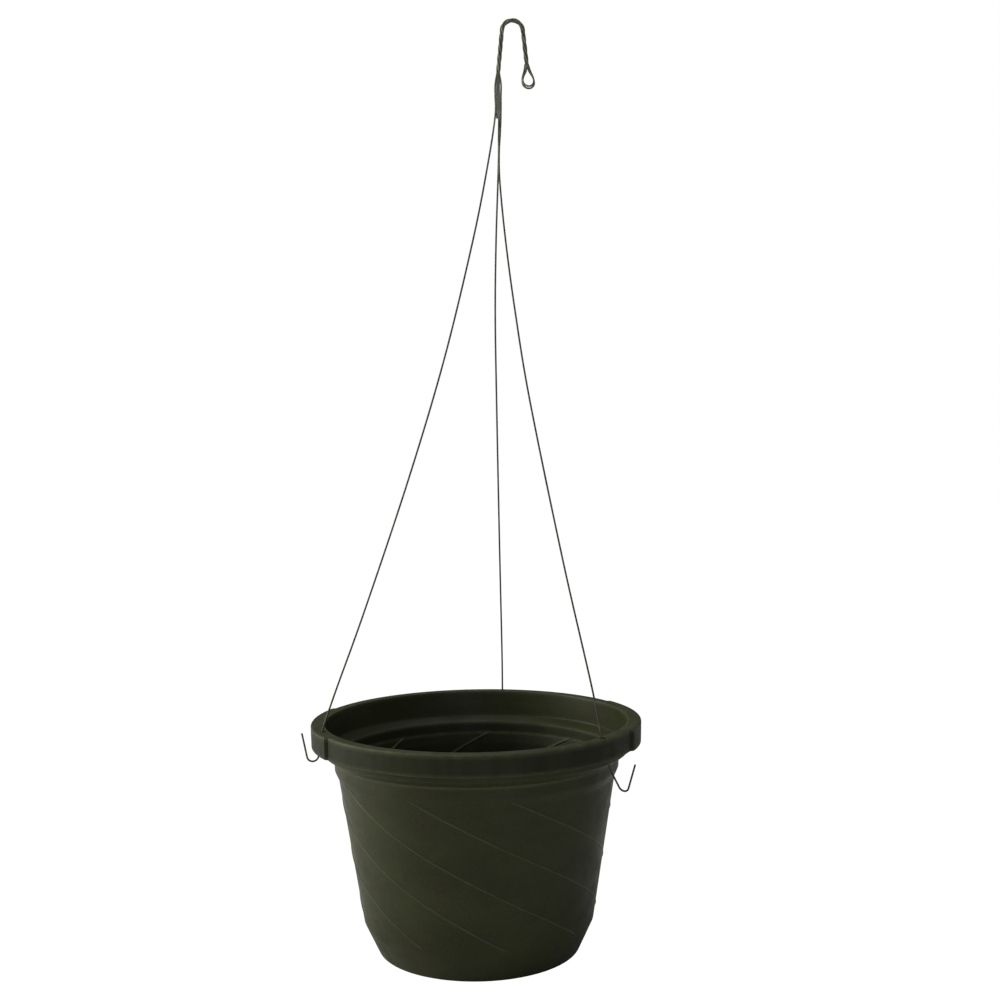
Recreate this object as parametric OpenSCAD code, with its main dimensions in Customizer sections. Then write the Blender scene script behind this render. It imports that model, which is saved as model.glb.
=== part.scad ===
// Hanging basket: a moulded plastic pot on a three-legged hanger of bent steel wire.
// Two wires, each folded in half at the eye, are twisted into one hook. Three of their
// four strands run down as legs through holes in the pot's rim; the fourth is cut short.
// Millimetres, +Z up. The origin is the centre of the pot's underside.

/* [Pot] */
// Height from the foot to the top of the rim
pot_h = 177.8; // [172:0.2:184]
// Outside diameter of the rim between the ears
rim_d = 250.8; // [249:0.2:252.6]
// Diameter of the mouth at the rim
mouth_d = 233.6; // [233:0.2:234.2]
// Diameter of the foot that the pot stands on
foot_d = 157; // [150:1:160]
// Thickness of the moulded wall
wall_t = 1.4; // [1.2:0.1:1.6]
// Height of the skirt that hangs from the rim's outer edge
skirt_h = 16.6; // [14:0.2:18]
// Diameter of each drain hole
drain_d = 9; // [5:0.5:12]
// Number of drain holes
drain_count = 8; // [4:1:10]

/* [Rim ears] */
// How far each ear stands out from the rim
ear_out = 2.3; // [1.6:0.1:2.6]
// Arc that each ear spans, in degrees
ear_span = 53; // [40:1:60]

/* [Hanger] */
// Diameter of the steel wire
wire_d = 1.4; // [1.2:0.1:1.4]
// Diameter of the holes in the rim that the legs pass through
rim_hole_d = 5; // [4.8:0.1:5]
// Radius of the hook's arch, along its centreline
hook_r = 8; // [7.5:0.1:8.5]
// Height of the centre of the hook's arch
hook_z = 704.3; // [700:0.1:710]
// Inside width of the eye
eye_w = 7; // [6:0.2:8]

/* [Rim hooks] */
// Radius of the bend at the end of each leg, along its centreline
bend_r = 4.3; // [4:0.1:4.5]
// Length of the left hook's straight tip
left_tip = 18.4; // [14:0.1:19]
// Length of the right hook's straight tip
right_tip = 21.3; // [16:0.1:22]
// Length of the back hook's straight tip
back_tip = 18; // [14:0.1:19]
// Angle by which the left hook's tip opens away from its leg, in degrees
left_flare = 19.5; // [15:1:24]
// Angle by which the right hook's tip opens away from its leg, in degrees
right_flare = 31.5; // [28:1:36]
// Angle by which the back hook's tip opens away from its leg, in degrees
back_flare = 21; // [15:1:24]

/* [Hidden] */
$fn = 120;
pot_color = [0.17, 0.19, 0.14];
wire_color = [0.45, 0.46, 0.42];

// Pot levels and radii
mouth_r = mouth_d / 2;
rim_r = rim_d / 2;
foot_r = foot_d / 2;
skirt_z = pot_h - skirt_h;
rim_wall_r = mouth_r + wall_t;
skirt_in_r = rim_r - wall_t + 0.1;
skirt_draft = 0.4;
ledge_z = 155.6;
shoulder_r = 110.2;
shoulder_z = 150.4;
shoulder_low_z = 143;
neck_r = 106.8;
neck_z = 135.5;
waist_r = 89.2;
waist_z = 24;
foot_rise = 2.5;
foot_edge_r = 1.5;
floor_t = 1.8;
ear_end = 0.6;
floor_in_r = 30;
floor_out_r = 64;
drain_ring_r = 54;
rim_edge_r = 1.3;
lip_edge_r = 0.9;

// Rim holes: one every 120 degrees, the first 14 degrees from the +Y axis
hole_ring_r = (rim_wall_r + skirt_in_r) / 2 - 0.3;
back_az = 76;
left_az = 196;
right_az = 316;

// Hanger geometry
wire_r = wire_d / 2;
wire_sides = 8;
strand_gap = 0.06;
strand_pitch = wire_d + strand_gap;
twist_r = strand_pitch / sqrt(2);
hook_x = 35.3;
leg_tilt = 6;
neck_z0 = 680;
stem_z = 673;
fan_z = 664;
pair_z = 655;
tail_z = 638.4;
// The strands end on an odd number of quarter turns, so that each pair lies side by side
twist_turns = 2.75;
rod_steps = 34;
// The legs below the rim's top: outward and sideways travel for each unit of drop
left_lean = 0.15;
right_lean = 0.14;
back_lean = 0.12;
left_swing = 0;
right_swing = 0.22;
back_swing = 0;
// How far from the middle of its hole each leg stands, outwards
left_offset = 0.7;
right_offset = -0.9;
back_offset = -0.5;
hook_gap = 0.05;

function lerp(a, b, t) = a + (b - a) * t;
function unit(v) = v / norm(v);
function reversed(p) = [for (i = [len(p) - 1:-1:0]) p[i]];
function polar(r, az, z) = [r * cos(az), r * sin(az), z];
function arc(cx, cz, r, from, to, steps) =
    [for (i = [0:steps]) let (a = lerp(from, to, i / steps)) [cx + r * cos(a), cz + r * sin(a)]];

spline_steps = 3;
hole_sides = 48;

// ---- Sweep: a round wire along a list of points ----
// ref is a direction that the path never runs along; it keeps the rings from twisting.
function tangent(p, i) = unit(p[min(i + 1, len(p) - 1)] - p[max(i - 1, 0)]);
function ring(c, t, ref, r, sides) =
    let (u = unit(cross(t, ref)), v = cross(t, u))
    [for (k = [0:sides - 1]) let (a = 360 * (k + 0.5) / sides) c + r * (u * cos(a) + v * sin(a))];

module sweep(path, ref, r = wire_r, sides = wire_sides) {
    n = len(path);
    points = [for (i = [0:n - 1]) each ring(path[i], tangent(path, i), ref, r, sides)];
    walls = [for (i = [0:n - 2], k = [0:sides - 1])
        let (a = i * sides + k, b = i * sides + (k + 1) % sides)
        [a, a + sides, b + sides, b]];
    first = [for (k = [0:sides - 1]) k];
    last = [for (k = [sides - 1:-1:0]) (n - 1) * sides + k];
    polyhedron(points, concat([first], walls, [last]), convexity = 10);
}

// A smooth curve through the given points (Catmull-Rom), steps points to each span
function spline_at(a, b, c, d, t) =
    0.5 * (2 * b + (c - a) * t + (2 * a - 5 * b + 4 * c - d) * t * t + (3 * b - a - 3 * c + d) * t * t * t);
function spline(p, steps) =
    let (n = len(p), q = concat([2 * p[0] - p[1]], p, [2 * p[n - 1] - p[n - 2]]))
    [for (i = [0:n - 2], s = [0:steps - 1]) spline_at(q[i], q[i + 1], q[i + 2], q[i + 3], s / steps)];

// ---- The twisted rod: its centreline climbs from the eye, over the arch and down the stem ----
arch_c = [hook_x, 0, hook_z];
arch_right = arch_c + hook_r * [cos(leg_tilt), 0, sin(leg_tilt)];
arch_left = arch_c + hook_r * [-cos(leg_tilt), 0, sin(leg_tilt)];
short_len = (arch_right[2] - neck_z0) / cos(leg_tilt);
long_len = (arch_left[2] - stem_z) / cos(leg_tilt);
arch_len = hook_r * (180 - 2 * leg_tilt) * PI / 180;
rod_len = short_len + arch_len + long_len;
function arch_angle(s) = leg_tilt + (s - short_len) / hook_r * 180 / PI;
function rod_point(s) =
    s < short_len ? arch_right + (short_len - s) * [sin(leg_tilt), 0, -cos(leg_tilt)]
    : s < short_len + arch_len ? arch_c + hook_r * [cos(arch_angle(s)), 0, sin(arch_angle(s))]
    : arch_left + (s - short_len - arch_len) * [-sin(leg_tilt), 0, -cos(leg_tilt)];
// Direction across the rod, in the plane of the hook
function rod_side(s) =
    s < short_len ? [-cos(leg_tilt), 0, -sin(leg_tilt)]
    : s < short_len + arch_len ? [-cos(arch_angle(s)), 0, -sin(arch_angle(s))]
    : [cos(leg_tilt), 0, -sin(leg_tilt)];
function strand_point(phase, s) =
    let (a = phase + 360 * twist_turns * s / rod_len)
    rod_point(s) + twist_r * (cos(a) * rod_side(s) + [0, sin(a), 0]);
function strand(phase) = [for (i = [0:rod_steps]) strand_point(phase, rod_len * i / rod_steps)];

// Where each strand leaves the eye, as an angle round the rod
left_phase = 315;
tail_phase = 225;
back_phase = 135;
right_phase = 45;

// The eye: a drop-shaped loop of each wire. The double wire's loop hangs a little lower than the
// other, and both lean on in the direction of the rod's short leg.
eye_lean = 0.08;
eye_steps = 12;
half_pitch = strand_pitch / 2;
inner_r = eye_w / 2 + wire_r;
outer_r = inner_r + 0.35;
// A loop is [side of its wire along Y, radius, height of its centre, one side's points: out, height]
inner_loop = [-half_pitch, inner_r, 667, [[0.73, 677.5], [0.76, 675.5], [1.45, 673.4], [2.85, 671],
    [3.75, 669.2]]];
outer_loop = [half_pitch, outer_r, 665.95, [[1.2, 679.1], [1.65, 677.4], [2.1, 675.3], [2.8, 673.2],
    [3.65, 671], [4.3, 668.7]]];
function eye_loop(loop) =
    let (side = loop[3],
        round = arc(0, loop[2], loop[1], 12, -192, eye_steps),
        outline = concat(side, round, [for (p = reversed(side)) [-p[0], p[1]]]))
    [for (p = outline) [rod_point(0)[0] + eye_lean * (neck_z0 - p[1]) + p[0], loop[0], p[1]]];

// The stem below the twist: the strands fan out into one flat row of four
function stem_x(z) = lerp(23.4, rod_point(rod_len)[0], (z - 640) / (stem_z - 640));
function row(place, y, z) = [stem_x(z) + place * strand_pitch, y, z];
function fan(place, y) = [row(place, y, fan_z), row(place, 0, pair_z)];

// ---- The legs, from the end of the row to a little way below the rim ----
// A leg is [azimuth, offset in its hole, lean, swing, drop to the start of its rim hook]
left_leg = [left_az, left_offset, left_lean, left_swing, 12];
right_leg = [right_az, right_offset, right_lean, right_swing, 20];
back_leg = [back_az, back_offset, back_lean, back_swing, 17];
function leg_slope(leg) =
    leg[2] * [cos(leg[0]), sin(leg[0]), 0] + leg[3] * [-sin(leg[0]), cos(leg[0]), 0] - [0, 0, 1];
function leg_point(leg, drop) = polar(hole_ring_r + leg[1], leg[0], pot_h) + drop * leg_slope(leg);
function leg_end(leg) = [leg_point(leg, -2), leg_point(leg, 6), leg_point(leg, leg[4])];
left_route = concat(fan(-1.5, -half_pitch), [
    row(-1.5, 0, 640), [15.1, -2, 604], [2.7, -5.3, 546], [-21, -11.7, 455], [-49.8, -18.6, 364],
    [-84.1, -25.6, 267], [-106.5, -30.6, 208]], leg_end(left_leg));
right_route = concat(fan(1.5, -half_pitch), [
    row(1.5, 0, 640), [24.8, -0.54, 626], [23.83, -0.76, 612], [24.1, -0.95, 590], [27.4, -6, 546],
    [33, -16, 492], [42.4, -27.3, 423], [63.2, -51.2, 304], [80.3, -73.4, 215]], leg_end(right_leg));
back_route = concat(fan(0.5, half_pitch), [
    row(0.5, 0, 640), [23.76, 0.54, 626], [23.57, 0.76, 612], [22.7, 0.85, 590], [21.1, 7, 546],
    [20.6, 20, 492], [21.9, 37, 423], [25, 70, 304], [28, 101, 215]], leg_end(back_leg));
tail_route = concat(fan(-0.5, half_pitch), [row(-0.5, 0, 648), row(-0.5, 0, tail_z)]);

function below_twist(route, steps) =
    let (curve = spline(route, steps)) concat(curve, [route[len(route) - 1]]);
function whole_strand(phase, route, steps) = concat(strand(phase), below_twist(route, steps));

module folded_wire(phase_a, route_a, phase_b, route_b, loop) {
    strand_a = whole_strand(phase_a, route_a, spline_steps);
    strand_b = whole_strand(phase_b, route_b, spline_steps);
    sweep(concat(reversed(strand_a), eye_loop(loop), strand_b), [0, 1, 0]);
}

module double_leg_wire() {
    color(wire_color) folded_wire(back_phase, back_route, right_phase, right_route, outer_loop);
}

module single_leg_wire() {
    color(wire_color) folded_wire(tail_phase, tail_route, left_phase, left_route, inner_loop);
}

// ---- The rim hooks: the bent end of each leg, which turns about the leg's own wire ----
// A hook is [straight lead, run beyond the first easy bend, turn, flare, length of the tip]. Its turn
// is how far it points from straight outwards, anticlockwise from above.
left_hook = [1.3, 0.2, -7, left_flare, left_tip];
right_hook = [0.7, 11, 3, right_flare, right_tip];
back_hook = [4, 1, -20, back_flare, back_tip];
ease_r = 22;
ease = 16;
ease_steps = 3;
bend_steps = 11;
// A bend from one heading to another, as the travel along each axis; 0 is straight down
function bend(r, from, to) = [r * (cos(from) - cos(to)), r * (sin(to) - sin(from))];
function bend_points(start, r, from, to, steps) =
    [for (i = [0:steps]) start + bend(r, from, lerp(from, to, i / steps))];
function hook_outline(hook) =
    let (eased = bend_points([0, hook[0]], ease_r, 0, ease, ease_steps),
        turn_at = eased[ease_steps] + hook[1] * [sin(ease), cos(ease)],
        bent = bend_points(turn_at, bend_r, ease, 180 - hook[3], bend_steps),
        tip = bent[bend_steps] + hook[4] * [sin(hook[3]), -cos(hook[3])])
    concat([[0, hook_gap]], eased, bent, [tip]);

module rim_hook(leg, hook) {
    down = unit(leg_slope(leg));
    flat = polar(1, leg[0] + hook[2], 0);
    across = unit(cross(down, flat));
    out = cross(across, down);
    start = leg_point(leg, leg[4]);
    sweep([for (p = hook_outline(hook)) start + p[0] * out + p[1] * down], across);
}

module left_rim_hook() {
    color(wire_color) rim_hook(left_leg, left_hook);
}

module right_rim_hook() {
    color(wire_color) rim_hook(right_leg, right_hook);
}

module back_rim_hook() {
    color(wire_color) rim_hook(back_leg, back_hook);
}

// ---- The pot: one moulding ----
// Half-section of the moulding
function pot_section() = concat(
    // Underside, with a raised ring where the drain holes are
    [[0, 0], [floor_in_r - foot_rise, 0], [floor_in_r, foot_rise], [floor_out_r, foot_rise],
        [floor_out_r + foot_rise, 0]],
    arc(foot_r - foot_edge_r, foot_edge_r, foot_edge_r, -90, -25, 5),
    // Outer wall: waist, shoulder and the ledge below the rim
    [[waist_r - 0.5, waist_z - 1.2], [waist_r, waist_z], [neck_r, neck_z],
        [shoulder_r - 0.8, shoulder_low_z - 2], [shoulder_r - 0.2, shoulder_low_z], [shoulder_r, shoulder_z],
        [shoulder_r + 0.6, shoulder_z + 0.8], [rim_wall_r - 1, ledge_z - 1], [rim_wall_r, ledge_z]],
    // Under the flange, and down the inside of the skirt
    [[rim_wall_r, pot_h - wall_t], [skirt_in_r, pot_h - wall_t],
        [skirt_in_r - skirt_draft, skirt_z], [rim_r - skirt_draft, skirt_z]],
    // Up the outside of the skirt, and over the rim
    arc(rim_r - rim_edge_r, pot_h - rim_edge_r, rim_edge_r, 0, 90, 6),
    arc(mouth_r + lip_edge_r, pot_h - lip_edge_r, lip_edge_r, 90, 180, 4),
    // Inner wall and floor
    [[mouth_r - 0.6, ledge_z + 1.1], [mouth_r - 1.4, ledge_z + 0.4],
        [shoulder_r - wall_t + 0.7, shoulder_z + 2], [shoulder_r - wall_t, shoulder_z + 1],
        [shoulder_r - wall_t - 0.8, shoulder_low_z + 1.2], [neck_r - wall_t + 0.3, neck_z + 2],
        [neck_r - wall_t, neck_z], [waist_r - wall_t, waist_z],
        [foot_r - 2, 2 * wall_t], [foot_r - 3.5, floor_t], [floor_out_r + foot_rise, floor_t],
        [floor_out_r, foot_rise + floor_t], [floor_in_r, foot_rise + floor_t],
        [floor_in_r - foot_rise, floor_t], [0, floor_t]]);

// One ear: a stretch of rim and skirt that stands out from the rest, closed at its ends
module ear(az) {
    rotate([0, 0, az - ear_span / 2]) rotate_extrude(angle = ear_span)
        polygon(concat([[skirt_in_r + 0.4, pot_h], [skirt_in_r + 0.4, skirt_z]],
            [[rim_r + ear_out - skirt_draft, skirt_z]],
            arc(rim_r + ear_out - rim_edge_r, pot_h - rim_edge_r, rim_edge_r, 0, 90, 6)));
}

module ear_hollow(az) {
    step = 0.05;
    rotate([0, 0, az - ear_span / 2 + ear_end]) rotate_extrude(angle = ear_span - 2 * ear_end)
        polygon([[rim_wall_r + 1, skirt_z - 1], [rim_wall_r + 1, pot_h - wall_t + step],
            [skirt_in_r + ear_out, pot_h - wall_t + step],
            [skirt_in_r + ear_out - skirt_draft, skirt_z], [skirt_in_r + ear_out - skirt_draft, skirt_z - 1]]);
}

module pot() {
    color(pot_color) difference() {
        union() {
            rotate_extrude() polygon(pot_section());
            for (az = [0, 180]) ear(az);
        }
        for (az = [0, 180]) ear_hollow(az);
        for (az = [back_az, left_az, right_az])
            translate(polar(hole_ring_r, az, pot_h - 2 * wall_t))
                cylinder(h = 3 * wall_t, d = rim_hole_d, $fn = hole_sides);
        for (i = [0:drain_count - 1])
            translate(polar(drain_ring_r, 360 * i / drain_count, -1))
                cylinder(h = foot_rise + floor_t + 2, d = drain_d, $fn = hole_sides);
    }
}

pot();
double_leg_wire();
single_leg_wire();
left_rim_hook();
right_rim_hook();
back_rim_hook();
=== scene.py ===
import math

import bmesh
import bpy
from mathutils import Matrix, Vector


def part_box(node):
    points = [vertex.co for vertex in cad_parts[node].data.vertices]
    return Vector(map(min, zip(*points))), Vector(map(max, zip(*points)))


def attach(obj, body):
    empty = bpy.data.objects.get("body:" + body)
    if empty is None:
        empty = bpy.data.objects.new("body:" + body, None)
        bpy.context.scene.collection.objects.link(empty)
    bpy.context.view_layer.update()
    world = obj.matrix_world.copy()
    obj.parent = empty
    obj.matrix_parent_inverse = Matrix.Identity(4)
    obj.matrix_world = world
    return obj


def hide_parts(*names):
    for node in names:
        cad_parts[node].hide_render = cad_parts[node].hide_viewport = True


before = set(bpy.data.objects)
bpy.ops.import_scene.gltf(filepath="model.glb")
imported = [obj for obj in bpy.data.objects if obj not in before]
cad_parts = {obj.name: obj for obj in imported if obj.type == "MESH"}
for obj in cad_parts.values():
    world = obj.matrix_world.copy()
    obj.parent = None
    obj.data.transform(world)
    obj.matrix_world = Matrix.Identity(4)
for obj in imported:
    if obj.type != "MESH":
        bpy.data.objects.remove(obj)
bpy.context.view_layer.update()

# Hanging basket: a moulded pot and a hanger of twisted steel wire.
# Every length below is in millimetres until it reaches a mesh, which is in metres.
MM = 0.001


# ---------------------------------------------------------------- small helpers

def lerp(a, b, t):
    return a + (b - a) * t


def smooth(t):
    """0 below 0, 1 above 1, and an S-curve between."""
    t = max(0.0, min(1.0, t))
    return t * t * (3 - 2 * t)


def polar(r, degrees, z):
    a = math.radians(degrees)
    return Vector((r * math.cos(a), r * math.sin(a), z))


def around(a, b):
    """Signed difference between two azimuths, in degrees, from -180 to 180."""
    return (a - b + 180) % 360 - 180


def new_object(name, verts, faces):
    """A mesh object from points in millimetres."""
    mesh = bpy.data.meshes.new(name)
    mesh.from_pydata([tuple(Vector(v) * MM) for v in verts], [], faces)
    mesh.update()
    obj = bpy.data.objects.new(name, mesh)
    bpy.context.scene.collection.objects.link(obj)
    return obj


def shade(obj, degrees):
    """Smooth shading, with edges sharper than this angle left crisp."""
    for polygon in obj.data.polygons:
        polygon.use_smooth = True
    obj.data.set_sharp_from_angle(angle=math.radians(degrees))


# ---------------------------------------------------------------- the camera

# The lens looks slightly down at the standing basket from well above its rim. Turns are in degrees.
CAMERA_TURN = -3.0
CAMERA_DISTANCE = 1080.0
CAMERA_HEIGHT = 397.9
CAMERA_YAW = 1.105
CAMERA_PITCH = -2.687
CAMERA_ROLL = -0.799
LENS, SENSOR_WIDTH = 50.45, 36
CLIP_START = 0.01


def make_camera():
    data = bpy.data.cameras.new("camera")
    data.lens = LENS
    data.sensor_width = SENSOR_WIDTH
    data.clip_start = CLIP_START
    camera = bpy.data.objects.new("camera", data)
    bpy.context.scene.collection.objects.link(camera)
    yaw = math.radians(CAMERA_YAW)
    pitch = math.radians(CAMERA_PITCH)
    roll = math.radians(CAMERA_ROLL)
    ahead = Vector((math.sin(yaw) * math.cos(pitch), math.cos(yaw) * math.cos(pitch), math.sin(pitch)))
    right = Vector((math.cos(yaw), -math.sin(yaw), 0))
    up = right.cross(ahead)
    tilted_right = right * math.cos(roll) + up * math.sin(roll)
    tilted_up = up * math.cos(roll) - right * math.sin(roll)
    place = Matrix.Identity(4)
    for row in range(3):
        place[row][0] = tilted_right[row]
        place[row][1] = tilted_up[row]
        place[row][2] = -ahead[row]
    place.translation = Vector((0, -CAMERA_DISTANCE, CAMERA_HEIGHT)) * MM
    camera.matrix_world = Matrix.Rotation(math.radians(CAMERA_TURN), 4, "Z") @ place
    bpy.context.scene.camera = camera


# ---------------------------------------------------------------- materials

# How bright the floor is to the camera, against its paper's colour: just past white
FLOOR_GLOW = 1.22

# Each pair is a darker and a paler tone
BODY_TONES = (0.0165, 0.0182, 0.0078), (0.0253, 0.0275, 0.0121)
# The rim's darker tone, partly painted shade on the vertical band, and laid inside the pot as painted shade
RIM_AND_SHADE_TONES = (0.0090, 0.0104, 0.0045), (0.0140, 0.0158, 0.0075)
# Paler tone of edges and ribs: partly wear, partly painted highlight
PALE_WEAR_AND_HIGHLIGHT = (0.078, 0.084, 0.042)
DULL_WIRE_TONES = (0.022, 0.022, 0.016), (0.050, 0.049, 0.037)
HIGHLIT_WIRE_TONES = (0.065, 0.065, 0.048), (0.150, 0.148, 0.112)
PAPER_TONES = (0.83, 0.83, 0.82), (0.86, 0.86, 0.85)

# The wire turns from dull to paler, a painted highlight, between these heights, in metres
HIGHLIGHT_FROM, HIGHLIGHT_TO = 0.56, 0.67


class Nodes:
    """A material's node tree, with short calls for the nodes that these materials use."""

    def __init__(self, name):
        self.material = bpy.data.materials.new(name)
        self.material.use_nodes = True
        self.tree = self.material.node_tree
        self.tree.nodes.clear()
        self.out = self.add("ShaderNodeOutputMaterial")
        self.shader = self.add("ShaderNodeBsdfPrincipled")
        self.link(self.shader.outputs[0], self.out.inputs["Surface"])
        self.place = self.add("ShaderNodeTexCoord").outputs["Object"]

    def add(self, kind, **settings):
        node = self.tree.nodes.new(kind)
        for key, value in settings.items():
            setattr(node, key, value)
        return node

    def link(self, a, b):
        self.tree.links.new(a, b)

    def scaled(self, x, y, z):
        """The object's coordinates, stretched along each axis."""
        node = self.add("ShaderNodeMapping")
        node.inputs["Scale"].default_value = (x, y, z)
        self.link(self.place, node.inputs["Vector"])
        return node.outputs[0]

    def noise(self, scale, detail=4, roughness=0.55, where=None, distortion=0.0):
        node = self.add("ShaderNodeTexNoise")
        node.inputs["Scale"].default_value = scale
        node.inputs["Detail"].default_value = detail
        node.inputs["Roughness"].default_value = roughness
        node.inputs["Distortion"].default_value = distortion
        self.link(where or self.place, node.inputs["Vector"])
        return node.outputs["Fac"]

    def remap(self, value, low, high, to_low=0.0, to_high=1.0):
        node = self.add("ShaderNodeMapRange", interpolation_type="SMOOTHSTEP")
        self.link(value, node.inputs["Value"])
        for key, number in zip(("From Min", "From Max", "To Min", "To Max"), (low, high, to_low, to_high)):
            node.inputs[key].default_value = number
        return node.outputs[0]

    def math(self, operation, a, b):
        node = self.add("ShaderNodeMath", operation=operation)
        for socket, value in zip(node.inputs, (a, b)):
            if isinstance(value, (int, float)):
                socket.default_value = value
            else:
                self.link(value, socket)
        return node.outputs[0]

    def mix(self, amount, a, b):
        """Mixes two colours; each is a tuple or a socket."""
        node = self.add("ShaderNodeMix", data_type="RGBA")
        self.link(amount, node.inputs["Factor"])
        for socket, value in zip((node.inputs[6], node.inputs[7]), (a, b)):
            if isinstance(value, tuple):
                socket.default_value = (*value, 1)
            else:
                self.link(value, socket)
        return node.outputs[2]

    def attribute(self, name):
        return self.add("ShaderNodeAttribute", attribute_name=name).outputs["Fac"]

    def bump(self, height, strength, distance, below=None):
        node = self.add("ShaderNodeBump")
        node.inputs["Strength"].default_value = strength
        node.inputs["Distance"].default_value = distance
        self.link(height, node.inputs["Height"])
        if below:
            self.link(below, node.inputs["Normal"])
        return node.outputs[0]


def pot_plastic():
    """Dark olive moulded polypropylene: satin, with faint flow mottling, and edges and ribs painted paler,
    partly for wear and partly as a painted highlight. The rim's band is darker, partly as painted shade, and
    rougher than the body; the inside takes part of that tone as painted shade."""
    n = Nodes("pot_plastic")
    flow = n.remap(n.noise(14, 5, 0.6, n.scaled(1, 1, 2.4), 0.6), 0.35, 0.68)
    streaks = n.remap(n.noise(55, 4, 0.6, n.scaled(1, 1, 0.08)), 0.35, 0.7)
    # The rim's darker tone, partly painted shade, and painted shade inside the pot; the same mask makes them
    # rougher
    band_and_shade = n.attribute("band_and_shade")
    grain = n.remap(n.noise(650, 3, 0.6), 0.3, 0.7)
    mottle = n.math("ADD", n.math("MULTIPLY", flow, 0.5), n.math("MULTIPLY", grain, 0.5))
    body = n.mix(mottle, *BODY_TONES)
    rim = n.mix(streaks, *RIM_AND_SHADE_TONES)
    colour = n.mix(band_and_shade, body, rim)
    # Edges and ribs painted paler, partly for wear and partly as a painted highlight, broken up by noise
    patchiness = n.remap(n.noise(120, 6, 0.7), 0.35, 0.75)
    paler_share = n.math("MULTIPLY", n.attribute("wear_and_highlight"), n.math("ADD", n.math("MULTIPLY", patchiness, 0.5), 0.5))
    n.link(n.mix(paler_share, colour, PALE_WEAR_AND_HIGHLIGHT), n.shader.inputs["Base Color"])
    rough = n.remap(n.noise(60, 5, 0.6), 0.3, 0.75, 0.42, 0.56)
    n.link(n.math("ADD", rough, n.math("MULTIPLY", band_and_shade, 0.1)), n.shader.inputs["Roughness"])
    coarse = n.bump(n.noise(70, 4, 0.5), 0.25, 0.0006)
    n.link(n.bump(n.noise(900, 3, 0.6), 0.35, 0.00012, coarse), n.shader.inputs["Normal"])
    n.shader.inputs["IOR"].default_value = 1.49
    n.shader.inputs["Specular IOR Level"].default_value = 0.11
    return n.material


def wire_steel():
    """Dull drawn steel wire: grey-olive, with fine draw lines and patches, and painted paler at the hook as a
    highlight.
    """
    n = Nodes("wire_steel")
    patches = n.remap(n.noise(160, 5, 0.65), 0.35, 0.7)
    draw = n.noise(700, 3, 0.6, n.scaled(1, 1, 0.15))
    dull = n.mix(patches, *DULL_WIRE_TONES)
    highlit = n.mix(patches, *HIGHLIT_WIRE_TONES)
    height = n.add("ShaderNodeSeparateXYZ")
    n.link(n.place, height.inputs[0])
    # Paler towards the top: a painted highlight on the hook
    colour = n.mix(n.remap(height.outputs["Z"], HIGHLIGHT_FROM, HIGHLIGHT_TO), dull, highlit)
    n.link(colour, n.shader.inputs["Base Color"])
    n.link(n.remap(draw, 0.3, 0.7, 0.38, 0.58), n.shader.inputs["Roughness"])
    n.link(n.bump(draw, 0.25, 0.00004), n.shader.inputs["Normal"])
    n.shader.inputs["Metallic"].default_value = 0.3
    n.shader.inputs["Specular IOR Level"].default_value = 0.3
    return n.material


def floor_paint():
    """Pale paper, which lights the pot as paper does but is evenly bright to the camera: a floor much
    brighter than white would hide the thin wires in front of it."""
    n = Nodes("floor_paint")
    paper = n.mix(n.remap(n.noise(3), 0.3, 0.7), *PAPER_TONES)
    n.link(paper, n.shader.inputs["Base Color"])
    n.shader.inputs["Roughness"].default_value = 0.9
    n.shader.inputs["Specular IOR Level"].default_value = 0.1
    glow = n.add("ShaderNodeEmission")
    n.link(paper, glow.inputs["Color"])
    glow.inputs["Strength"].default_value = FLOOR_GLOW
    seen = n.add("ShaderNodeMixShader")
    n.link(n.add("ShaderNodeLightPath").outputs["Is Camera Ray"], seen.inputs[0])
    n.link(n.shader.outputs[0], seen.inputs[1])
    n.link(glow.outputs[0], seen.inputs[2])
    n.link(seen.outputs[0], n.out.inputs["Surface"])
    return n.material


# ---------------------------------------------------------------- the pot

pot_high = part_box("pot")[1]
POT_H = pot_high.z / MM
WALL = 1.4
MOUTH_R = 116.8
RIM_R = 125.4
EAR_OUT = pot_high.x / MM - RIM_R
EAR_HALF = 26.5
SKIRT_Z = POT_H - 16.6
WALL_R = MOUTH_R + WALL
SKIRT_IN_R = RIM_R - WALL + 0.1
SHOULDER_R = 110.2
NECK_R, NECK_Z = 106.8, 135.5
WAIST_R, WAIST_Z = 89.2, 24.0
FOOT_R = 78.5
INNER_FOOT_R = FOOT_R - 3
FLOOR_T = 1.8
DRAFT = 0.4

# The shoulder and the wall above it, outside and then inside
SHOULDER_FOOT_Z, SHOULDER_TOP_Z, WALL_FOOT_Z = 142.2, 150.8, 155.8
LEDGE_R = SHOULDER_R - WALL
INNER_SHOULDER_R = LEDGE_R - 1
INNER_SHOULDER_Z, LEDGE_Z, MOUTH_FOOT_Z = 143.6, 152.2, 157.2
MOUTH_FOOT_R = MOUTH_R - 0.9

# The floor's ring that stands clear of the ground, and within it the edge of the fans that close the mesh
FLOOR_RISE = 2.5
RING_IN, RING_OUT = 30, 64
RING_FOOT_IN, RING_FOOT_OUT = 26 - FLOOR_RISE, RING_OUT + FLOOR_RISE
HUB_R = 12

RIM_HOLES = (76, 196, 316)
RIM_HOLE_RING = (WALL_R + SKIRT_IN_R) / 2 - 0.3
RIM_HOLE_R = 2.5
DRAIN_RING, DRAIN_R, DRAINS = 54.0, 4.5, 8

# The spiral ribs, inside and out
RIBS = 9
RIB_START = 39.0
RIB_INNER_LAG = 6.6
RIB_TURN = 1.05
RIB_HALF = 1.15
RIB_HEIGHT = 0.45
RIB_INNER_HEIGHT = 0.8
RIB_INNER_HALF = 1.6
RIB_TOP, RIB_END = 140.0, 25.0
RIB_INNER_TOP = 144.5
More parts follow.
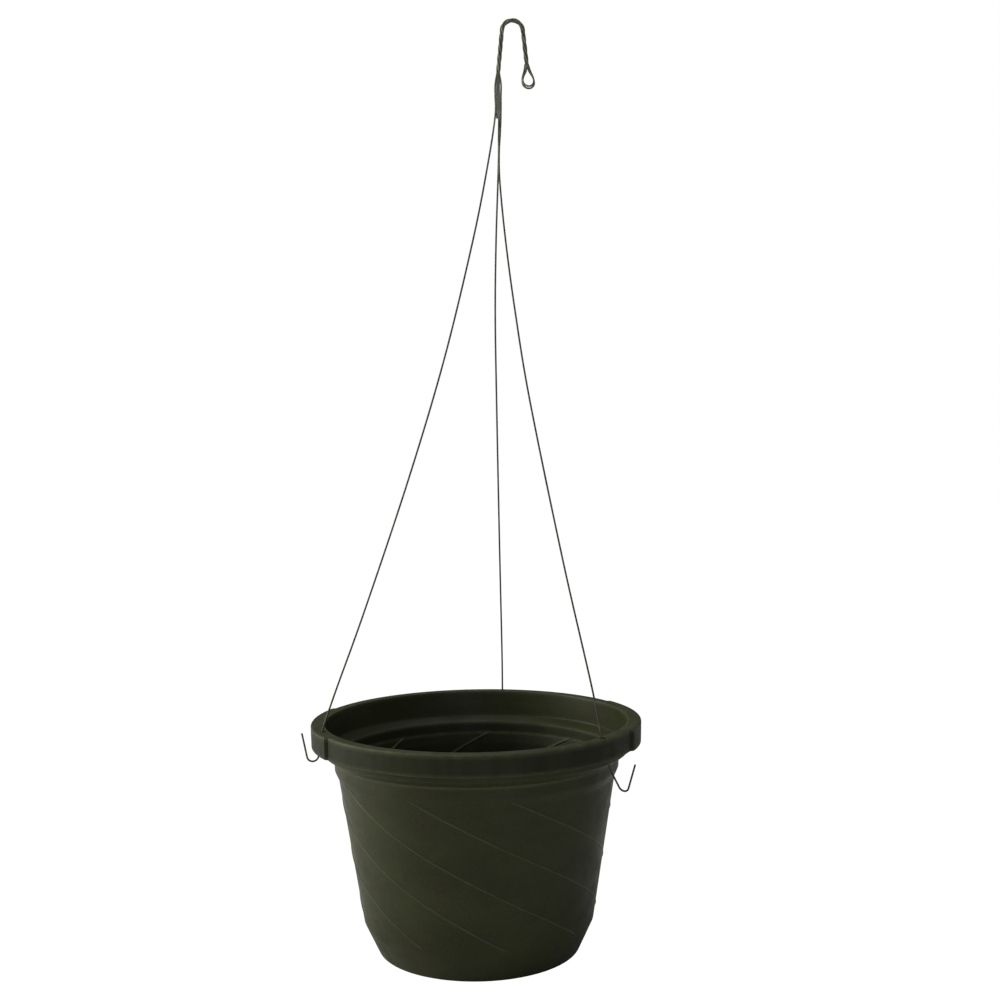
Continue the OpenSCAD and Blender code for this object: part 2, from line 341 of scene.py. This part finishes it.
# How pale the ribs are painted, outside and inside: partly wear, partly painted highlight
RIB_WEAR_AND_HIGHLIGHT, RIB_INNER_WEAR_AND_HIGHLIGHT = 0.5, 1.0

# How much of the rim's darker tone and roughness the inside has: its darker tone there is painted shade
INSIDE_SHADE = 0.75


def corner_arc(before, corner, after, r):
    """Points of a fillet of radius r at a corner of a half-section."""
    a, b = (before - corner).normalized(), (after - corner).normalized()
    half = a.angle(b) / 2
    reach = min(r / math.tan(half), (before - corner).length * 0.48, (after - corner).length * 0.48)
    steps = max(2, round((math.pi - 2 * half) / 0.26))
    ends = corner + a * reach, corner + b * reach
    # A quadratic curve through the corner's two tangent points
    return [ends[0] * (1 - t) ** 2 + corner * 2 * t * (1 - t) + ends[1] * t * t
            for t in (i / steps for i in range(steps + 1))]


def pot_outline():
    """The moulding's half-section as (radius, height, zone) stations, from the middle of the underside
    over the outer wall and the rim to the middle of the floor inside."""
    corners = [
        # radius, height, fillet, zone after it, longest step
        (RING_FOOT_IN, 0, 1.5, "under", 4), (RING_IN, FLOOR_RISE, 1.5, "under", 4),
        (RING_OUT, FLOOR_RISE, 1.5, "under", 4), (RING_FOOT_OUT, 0, 1.5, "under", 4),
        (FOOT_R - 0.5, 0, 2.2, "outer", 2.5),
        (WAIST_R, WAIST_Z, 5, "outer", 2), (NECK_R, NECK_Z, 3, "outer", 1.5),
        (SHOULDER_R - DRAFT, SHOULDER_FOOT_Z, 2.5, "outer", 2),
        (SHOULDER_R, SHOULDER_TOP_Z, 1.2, "rim", 2),
        (WALL_R, WALL_FOOT_Z, 1.5, "rim", 2.5), (WALL_R, POT_H - WALL, 0.6, "rim", 2.5),
        (SKIRT_IN_R, POT_H - WALL, 0.5, "skirt", 2.5), (SKIRT_IN_R - DRAFT, SKIRT_Z, 0.45, "skirt", 1),
        (RIM_R - DRAFT, SKIRT_Z, 0.55, "skirt", 2.5), (RIM_R, POT_H, 1.7, "rim", 1.5),
        (MOUTH_R, POT_H, 1.1, "rim", 2.5), (MOUTH_FOOT_R, MOUTH_FOOT_Z, 2.2, "rim", 1.5),
        (LEDGE_R, LEDGE_Z, 1.2, "inner", 2), (INNER_SHOULDER_R, INNER_SHOULDER_Z, 2.2, "inner", 1.5),
        (NECK_R - WALL, NECK_Z, 3, "inner", 2), (WAIST_R - WALL, WAIST_Z, 5, "inner", 2.5),
        (INNER_FOOT_R, FLOOR_T, 3, "floor", 4), (RING_FOOT_OUT, FLOOR_T, 1.5, "floor", 4),
        (RING_OUT, FLOOR_RISE + FLOOR_T, 1.5, "floor", 4),
        (RING_IN, FLOOR_RISE + FLOOR_T, 1.5, "floor", 4), (RING_FOOT_IN, FLOOR_T, 1.5, "floor", 4)]
    points = [Vector((0, 0))] + [Vector(c[:2]) for c in corners] + [Vector((0, FLOOR_T))]
    stations = []
    for i, (r, z, fillet, zone, step) in enumerate(corners):
        curve = corner_arc(points[i], points[i + 1], points[i + 2], fillet)
        stations += [(p.x, p.y, zone) for p in curve]
        following = corners[i + 1] if i + 1 < len(corners) else None
        goal = (corner_arc(points[i + 1], points[i + 2], points[i + 3], following[2])[0]
                if following else Vector((HUB_R, FLOOR_T)))
        count = max(1, math.ceil((goal - curve[-1]).length / step))
        stations += [(lerp(curve[-1].x, goal.x, k / count), lerp(curve[-1].y, goal.y, k / count), zone)
                     for k in range(1, count)]
    return [(HUB_R, 0, "under")] + stations + [(HUB_R, FLOOR_T, "floor")]


def rib_columns():
    """Azimuths of the mesh's columns within one rib's share of the circle, closer together on the rib."""
    share = 360 / RIBS
    close = [0, 0.3, 0.6, 0.9, 1.15, 1.5, 2.0]
    count = 18
    far = [lerp(close[-1], share / 2, i / count) for i in range(1, count + 1)]
    half = close + far
    return [-x for x in reversed(half[1:-1])] + half


def rib_shift(station_z, zone):
    """How far round the columns have turned at this height, in degrees."""
    inside = zone in ("inner", "floor")
    z = max(RIB_END - 6, min(RIB_INNER_TOP if inside else RIB_TOP, station_z))
    return RIB_START + (RIB_TOP - z) * RIB_TURN + (RIB_INNER_LAG if inside else 0)


def ear_pull(azimuth):
    """Draws the columns near an ear's ends together there, so that the ear's step is crisp."""
    reach = 3.0
    for middle in (0, 180):
        for side in (-1, 1):
            end = middle + side * EAR_HALF
            d = around(azimuth, end)
            if abs(d) < reach:
                return end + math.copysign(reach * (abs(d) / reach) ** 1.9, d)
    return azimuth


def ear_amount(azimuth):
    """1 on an ear, 0 between the ears."""
    inside = EAR_HALF - min(abs(around(azimuth, 0)), abs(around(azimuth, 180)))
    return smooth(inside / 0.7 + 0.5)


def edge_wear_and_highlight(r, z):
    """How pale the moulding is painted, partly for wear by handling and partly as a painted highlight: the
    rim's top and its two edges, the skirt's hem, the shoulder outside and inside, and the ledge's edge."""
    paleness = 0
    for edge_r, edge_z, reach, amount in (
            (RIM_R, POT_H, 2.6, 1.0), (MOUTH_R, POT_H, 1.6, 0.75), (RIM_R - 0.6, SKIRT_Z, 1.1, 0.7),
            (SHOULDER_R, SHOULDER_TOP_Z, 1.3, 0.6), (INNER_SHOULDER_R, INNER_SHOULDER_Z, 1.8, 0.65),
            (LEDGE_R, LEDGE_Z, 2.4, 0.45)):
        distance = math.hypot(r - edge_r, z - edge_z)
        paleness = max(paleness, amount * (1 - distance / reach))
    # The rim's flat top is painted paler too, as a painted highlight
    return max(paleness, 0.55 * smooth((z - POT_H + 0.5) / 0.4))


def make_pot():
    stations = pot_outline()
    offsets = rib_columns()
    columns = [i * 360 / RIBS + x for i in range(RIBS) for x in offsets]
    count = len(columns)
    verts, wear_and_highlight, band_and_shade = [], [], []
    over_lag = rib_shift(POT_H, "inner") - rib_shift(POT_H, "outer")
    # Over the rim the columns ease round from the outer ribs' places to the inner ones'
    rim_run = [i for i, s in enumerate(stations) if s[2] in ("rim", "skirt")]
    first_rim, last_rim = rim_run[0], rim_run[-1]
    for index, (r, z, zone) in enumerate(stations):
        in_rim = zone in ("rim", "skirt")
        over = smooth((index - first_rim) / (last_rim - first_rim)) if in_rim else 0
        shift = rib_shift(z, zone) + over_lag * over
        # Columns gather at the ears' ends in the rim, and are let go over a few stations below it
        gather = 0.0
        if in_rim:
            gather = smooth(min(index - first_rim, last_rim - index) / 4)
        top = RIB_TOP if zone == "outer" else RIB_INNER_TOP
        ribbed = smooth((top - z) / 3) * smooth((z - RIB_END) / 2) if zone in ("outer", "inner") else 0
        height, half = (RIB_HEIGHT, RIB_HALF) if zone == "outer" else (-RIB_INNER_HEIGHT, RIB_INNER_HALF)
        rib_wear_and_highlight = RIB_WEAR_AND_HIGHLIGHT if zone == "outer" else RIB_INNER_WEAR_AND_HIGHLIGHT
        ear_share = 0.0
        if in_rim:
            ear_share = smooth((r - WALL_R - 2) / 3)
        for k, column in enumerate(columns):
            azimuth = column + shift
            azimuth = azimuth + gather * around(ear_pull(azimuth % 360), azimuth)
            d = abs(offsets[k % len(offsets)])
            bump = 0.5 + 0.5 * math.cos(math.pi * d / half) if d < half else 0
            radius = r + height * bump * ribbed + ear_share * EAR_OUT * ear_amount(azimuth)
            verts.append(polar(radius, azimuth, z))
            # Ribs and edges painted paler: partly wear, partly painted highlight
            wear_and_highlight.append(min(1, rib_wear_and_highlight * bump * ribbed + edge_wear_and_highlight(r, z)))
            # The rim's band takes the darker tone, partly painted shade, and the inside takes it as painted
            # shade
            band_and_shade.append(1 if in_rim and r > WALL_R + 1 else INSIDE_SHADE if zone in ("inner", "floor") else 0)
    faces = []
    for i in range(len(stations) - 1):
        for k in range(count):
            a, b = i * count + k, i * count + (k + 1) % count
            faces.append((b, a, a + count, b + count))
    # Close the middle of the underside and of the floor with a fan
    for start, z, turn in ((0, 0, 1), ((len(stations) - 1) * count, FLOOR_T, -1)):
        centre = len(verts)
        verts.append(Vector((0, 0, z)))
        wear_and_highlight.append(0)
        band_and_shade.append(0)
        for k in range(count):
            a, b = start + k, start + (k + 1) % count
            faces.append((a, b, centre) if turn > 0 else (b, a, centre))
    pot = new_object("pot_moulding", verts, faces)
    for name, values in (("wear_and_highlight", wear_and_highlight), ("band_and_shade", band_and_shade)):
        pot.data.attributes.new(name, "FLOAT", "POINT").data.foreach_set("value", values)
    cut_holes(pot)
    shade(pot, 35)
    return pot


def cutter(name, r, height, places):
    """Round bars that a hole is cut with."""
    mesh = bmesh.new()
    for place in places:
        bmesh.ops.create_cone(
            mesh, cap_ends=True, segments=40, radius1=r * MM, radius2=r * MM, depth=height * MM,
            matrix=Matrix.Translation(place * MM))
    data = bpy.data.meshes.new(name)
    mesh.to_mesh(data)
    mesh.free()
    obj = bpy.data.objects.new(name, data)
    bpy.context.scene.collection.objects.link(obj)
    return obj


def cut_holes(pot):
    rim_places = [polar(RIM_HOLE_RING, a, POT_H - 0.5) for a in RIM_HOLES]
    drain_places = [polar(DRAIN_RING, 360 * i / DRAINS, 3) for i in range(DRAINS)]
    tools = [cutter("rim_hole_tool", RIM_HOLE_R, 5, rim_places),
             cutter("drain_hole_tool", DRAIN_R, 12, drain_places)]
    for tool in tools:
        cut = pot.modifiers.new(tool.name, "BOOLEAN")
        cut.operation = "DIFFERENCE"
        cut.solver = "EXACT"
        cut.object = tool
    graph = bpy.context.evaluated_depsgraph_get()
    finished = bpy.data.meshes.new_from_object(pot.evaluated_get(graph))
    pot.modifiers.clear()
    pot.data = finished
    for tool in tools:
        bpy.data.objects.remove(tool)


# ---------------------------------------------------------------- the wires

WIRE_R = 0.7
PITCH = 1.46
TWIST_R = PITCH / math.sqrt(2)
TURNS = 2.75
HOOK_R = 8.0
LEG_TILT = math.radians(6)
NECK_Z0, STEM_Z, FAN_Z, PAIR_Z = 680.0, 673.0, 664.0, 655.0
ROW_FOOT_X, ROW_FOOT_Z = 23.4, 640
HOOK_CENTRE = Vector((35.3, 0, 704.3))
EYE_LEAN = 0.08
EYE_R = 4.2

ARCH_RIGHT = HOOK_CENTRE + HOOK_R * Vector((math.cos(LEG_TILT), 0, math.sin(LEG_TILT)))
ARCH_LEFT = HOOK_CENTRE + HOOK_R * Vector((-math.cos(LEG_TILT), 0, math.sin(LEG_TILT)))
SHORT_LEN = (ARCH_RIGHT.z - NECK_Z0) / math.cos(LEG_TILT)
ARCH_LEN = HOOK_R * (math.pi - 2 * LEG_TILT)
ROD_LEN = SHORT_LEN + ARCH_LEN + (ARCH_LEFT.z - STEM_Z) / math.cos(LEG_TILT)


def rod_frame(s):
    """The rod's centre and its sideways direction, a distance s along it from the eye."""
    if s < SHORT_LEN:
        centre = ARCH_RIGHT + (SHORT_LEN - s) * Vector((math.sin(LEG_TILT), 0, -math.cos(LEG_TILT)))
        return centre, Vector((-math.cos(LEG_TILT), 0, -math.sin(LEG_TILT)))
    if s < SHORT_LEN + ARCH_LEN:
        a = LEG_TILT + (s - SHORT_LEN) / HOOK_R
        out = Vector((math.cos(a), 0, math.sin(a)))
        return HOOK_CENTRE + HOOK_R * out, -out
    run = s - SHORT_LEN - ARCH_LEN
    return (ARCH_LEFT + run * Vector((-math.sin(LEG_TILT), 0, -math.cos(LEG_TILT))),
            Vector((math.cos(LEG_TILT), 0, -math.sin(LEG_TILT))))


def strand(phase, steps=90):
    points = []
    for i in range(steps + 1):
        s = ROD_LEN * i / steps
        centre, side = rod_frame(s)
        a = math.radians(phase) + 2 * math.pi * TURNS * s / ROD_LEN
        points.append(centre + TWIST_R * (math.cos(a) * side + Vector((0, math.sin(a), 0))))
    return points


def spline(points, steps):
    """A smooth curve through the points (Catmull-Rom)."""
    q = [2 * points[0] - points[1], *points, 2 * points[-1] - points[-2]]
    curve = []
    for i in range(len(points) - 1):
        a, b, c, d = q[i:i + 4]
        for k in range(steps):
            t = k / steps
            curve.append(0.5 * (2 * b + (c - a) * t + (2 * a - 5 * b + 4 * c - d) * t * t
                                + (3 * b - a - 3 * c + d) * t ** 3))
    return curve + [points[-1]]


class Loop:
    """One wire's loop round the eye: its place along Y, radius, height of centre, and the points down one
    side."""

    def __init__(self, y, radius, height, side):
        self.y, self.radius, self.height, self.side = y, radius, height, side

    def points(self):
        # The round end, from 12 degrees above level on one side to the same on the other
        turn = [math.radians(12 - 204 * i / 12) for i in range(13)]
        outline = self.side + [(self.radius * math.cos(a), self.height + self.radius * math.sin(a))
                               for a in turn]
        outline += [(-x, z) for x, z in reversed(self.side)]
        neck_x = rod_frame(0)[0].x
        return [Vector((neck_x + EYE_LEAN * (NECK_Z0 - z) + x, self.y, z)) for x, z in outline]


INNER_LOOP = Loop(-PITCH / 2, EYE_R, 667,
                  [(0.73, 677.5), (0.76, 675.5), (1.45, 673.4), (2.85, 671), (3.75, 669.2)])
OUTER_LOOP = Loop(PITCH / 2, EYE_R + 0.35, 665.95,
                  [(1.2, 679.1), (1.65, 677.4), (2.1, 675.3), (2.8, 673.2), (3.65, 671), (4.3, 668.7)])


def row(place, y, z):
    """A point in the flat row of four strands below the twist."""
    x = lerp(ROW_FOOT_X, rod_frame(ROD_LEN)[0].x, (z - ROW_FOOT_Z) / (STEM_Z - ROW_FOOT_Z))
    return Vector((x + place * PITCH, y, z))


def fan(place, y):
    return [row(place, y, FAN_Z), row(place, 0, PAIR_Z)]


class Leg:
    """A leg's run through the rim: azimuth, offset in its hole, slopes outwards and sideways, and the drop
    from the rim's top to its bent end."""

    def __init__(self, azimuth, offset, lean, swing, drop):
        a = math.radians(azimuth)
        self.azimuth = azimuth
        self.drop = drop
        self.start = polar(RIM_HOLE_RING + offset, azimuth, POT_H)
        self.slope = Vector((lean * math.cos(a) - swing * math.sin(a),
                             lean * math.sin(a) + swing * math.cos(a), -1))

    def point(self, drop):
        return self.start + drop * self.slope

    def ends(self):
        return [self.point(-2), self.point(6), self.point(self.drop)]


LEFT = Leg(196, 0.7, 0.15, 0, 12)
RIGHT = Leg(316, -0.9, 0.14, 0.22, 20)
BACK = Leg(76, -0.5, 0.12, 0, 17)

# Each leg's own shape between the twist and the rim, bowed a little by the wire's spring
LEFT_ROUTE = fan(-1.5, -PITCH / 2) + [row(-1.5, 0, ROW_FOOT_Z)] + [Vector(p) for p in (
    (15.1, -2, 604), (2.7, -5.3, 546), (-21, -11.7, 455), (-49.8, -18.6, 364), (-84.1, -25.6, 267),
    (-106.5, -30.6, 208))] + LEFT.ends()
RIGHT_ROUTE = fan(1.5, -PITCH / 2) + [row(1.5, 0, ROW_FOOT_Z)] + [Vector(p) for p in (
    (24.8, -0.54, 626), (23.83, -0.76, 612), (24.1, -0.95, 590), (27.4, -6, 546), (33, -16, 492),
    (42.4, -27.3, 423), (63.2, -51.2, 304), (80.3, -73.4, 215))] + RIGHT.ends()
BACK_ROUTE = fan(0.5, PITCH / 2) + [row(0.5, 0, ROW_FOOT_Z)] + [Vector(p) for p in (
    (23.76, 0.54, 626), (23.57, 0.76, 612), (22.7, 0.85, 590), (21.1, 7, 546), (20.6, 20, 492),
    (21.9, 37, 423), (25, 70, 304), (28, 101, 215))] + BACK.ends()
TAIL_ROUTE = fan(-0.5, PITCH / 2) + [row(-0.5, 0, 648), row(-0.5, 0, 638.4)]


def tube(name, path, r=WIRE_R, sides=16):
    """A round wire along a path, with ends cut square and slightly broken at the edge."""
    points = [Vector(p) for p in path]
    tangents = []
    for i in range(len(points)):
        tangents.append((points[min(i + 1, len(points) - 1)] - points[max(i - 1, 0)]).normalized())
    # Any direction will do here that no wire starts along
    across = tangents[0].cross(Vector((0.31, 0.83, 0.46))).normalized()
    verts, faces = [], []
    rings = []

    def add_ring(centre, tangent, direction, radius):
        u = direction
        v = tangent.cross(u)
        rings.append(len(verts))
        for k in range(sides):
            a = 2 * math.pi * k / sides
            verts.append(centre + radius * (u * math.cos(a) + v * math.sin(a)))

    bevel = 0.15 * r
    for i, (p, t) in enumerate(zip(points, tangents)):
        across = (across - t * across.dot(t)).normalized()
        if i == 0:
            add_ring(p, t, across, r - bevel)
            add_ring(p + t * bevel, t, across, r)
        elif i == len(points) - 1:
            add_ring(p - t * bevel, t, across, r)
            add_ring(p, t, across, r - bevel)
        else:
            add_ring(p, t, across, r)
    for a, b in zip(rings[:-1], rings[1:]):
        for k in range(sides):
            m = (k + 1) % sides
            faces.append((a + k, a + m, b + m, b + k))
    faces.append(tuple(range(sides - 1, -1, -1)))
    faces.append(tuple(range(rings[-1], rings[-1] + sides)))
    obj = new_object(name, verts, faces)
    shade(obj, 50)
    return obj


def folded_wire(name, phase_a, route_a, phase_b, route_b, eye):
    """One wire, folded in half at the eye: down one leg, up the twist, round the eye and back."""
    a = strand(phase_a)[:-1] + spline([strand(phase_a)[-1]] + route_a, 10)
    b = strand(phase_b)[:-1] + spline([strand(phase_b)[-1]] + route_b, 10)
    loop = spline([strand(phase_a)[0]] + eye.points() + [strand(phase_b)[0]], 3)[1:-1]
    return tube(name, list(reversed(a)) + loop + b)


EASE_R, EASE = 22.0, math.radians(16)
BEND_R = 4.3
HOOK_GAP = 0.05


def rim_hook(name, leg, lead, run, turn, flare, tip):
    """The bent end of a leg: a straight lead, an easy bend, a run, the tight bend and a straight tip. It
    points turn degrees from straight outwards, anticlockwise from above, and its tip opens by flare
    degrees."""
    down = leg.slope.normalized()
    flat = polar(1, leg.azimuth + turn, 0)
    out = down.cross(flat).normalized().cross(down)
    flare = math.radians(flare)
    outline = [Vector((0, HOOK_GAP)), Vector((0, lead))]

    def bend(r, start, end, steps):
        first = outline[-1]
        for i in range(1, steps + 1):
            h = lerp(start, end, i / steps)
            outline.append(first + r * Vector((math.cos(start) - math.cos(h), math.sin(h) - math.sin(start))))

    def straight(heading, length):
        outline.append(outline[-1] + length * Vector((math.sin(heading), math.cos(heading))))

    bend(EASE_R, 0, EASE, 8)
    straight(EASE, run)
    bend(BEND_R, EASE, math.pi - flare, 28)
    straight(math.pi - flare, tip)
    start = leg.point(leg.drop)
    return tube(name, [start + p.x * out + p.y * down for p in outline])


# ---------------------------------------------------------------- build and dress

def dress(piece, material, body, node):
    piece.data.materials.clear()
    piece.data.materials.append(material)
    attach(piece, body)
    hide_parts(node)


# In metres, as are the lamps' places below
FLOOR_HALF = 6.0


def make_stage():
    size = FLOOR_HALF
    corners = [(-size, -size, 0), (size, -size, 0), (size, size, 0), (-size, size, 0)]
    mesh = bpy.data.meshes.new("floor")
    mesh.from_pydata(corners, [], [(0, 1, 2, 3)])
    floor = bpy.data.objects.new("floor", mesh)
    bpy.context.scene.collection.objects.link(floor)
    floor.data.materials.append(floor_paint())


def area_light(name, place, size, power, colour):
    data = bpy.data.lights.new(name, "AREA")
    data.shape = "DISK"
    data.size = size
    data.energy = power
    data.color = colour
    lamp = bpy.data.objects.new(name, data)
    bpy.context.scene.collection.objects.link(lamp)
    # The camera doesn't see the lamp itself, which would show as a disc
    lamp.visible_camera = False
    lamp.location = place
    lamp.rotation_mode = "QUATERNION"
    lamp.rotation_quaternion = (Vector(LIGHT_TARGET) - Vector(place)).to_track_quat("-Z", "Y")


SURROUND_LIGHT = 0.14
LIGHT_TARGET = (0, 0, 0.12)
WHITE, WARM = (1, 1, 1), (1, 0.99, 0.86)
LAMPS = (
    # name, place, width, watts, colour
    ("left_lamp", (-1.9, 0.2, 0.75), 1.4, 56, WARM),
    ("right_lamp", (2.0, 0.6, 0.7), 1.4, 2.2, WARM),
    ("top_lamp", (0.1, 0.3, 2.6), 1.6, 23, WHITE),
    ("front_lamp", (0.3, -2.6, 0.6), 1.2, 17, WHITE))


def make_light():
    """A white surround that lights the object only faintly, with soft lamps at both sides, above and in
    front."""
    world = bpy.data.worlds.new("studio")
    world.use_nodes = True
    tree = world.node_tree
    dim = tree.nodes["Background"]
    dim.inputs["Color"].default_value = (1, 1, 1, 1)
    dim.inputs["Strength"].default_value = SURROUND_LIGHT
    bright = tree.nodes.new("ShaderNodeBackground")
    bright.inputs["Color"].default_value = (1, 1, 1, 1)
    bright.inputs["Strength"].default_value = 1.0
    seen = tree.nodes.new("ShaderNodeLightPath")
    choose = tree.nodes.new("ShaderNodeMixShader")
    tree.links.new(seen.outputs["Is Camera Ray"], choose.inputs[0])
    tree.links.new(dim.outputs[0], choose.inputs[1])
    tree.links.new(bright.outputs[0], choose.inputs[2])
    tree.links.new(choose.outputs[0], tree.nodes["World Output"].inputs["Surface"])
    bpy.context.scene.world = world
    for lamp in LAMPS:
        area_light(*lamp)
    bpy.context.scene.view_settings.view_transform = "Standard"


make_camera()
plastic = pot_plastic()
steel = wire_steel()
dress(make_pot(), plastic, "pot", "pot")
dress(folded_wire("back_and_right_wire", 135, BACK_ROUTE, 45, RIGHT_ROUTE, OUTER_LOOP),
      steel, "hanger", "double_leg_wire")
dress(folded_wire("left_wire_and_tail", 225, TAIL_ROUTE, 315, LEFT_ROUTE, INNER_LOOP),
      steel, "hanger", "single_leg_wire")
dress(rim_hook("left_hook_end", LEFT, 1.3, 0.2, -7, 19.5, 18.4),
      steel, "left_hook", "left_rim_hook")
dress(rim_hook("right_hook_end", RIGHT, 0.7, 11, 3, 31.5, 21.3),
      steel, "right_hook", "right_rim_hook")
dress(rim_hook("back_hook_end", BACK, 4, 1, -20, 21, 18),
      steel, "back_hook", "back_rim_hook")
make_stage()
make_light()
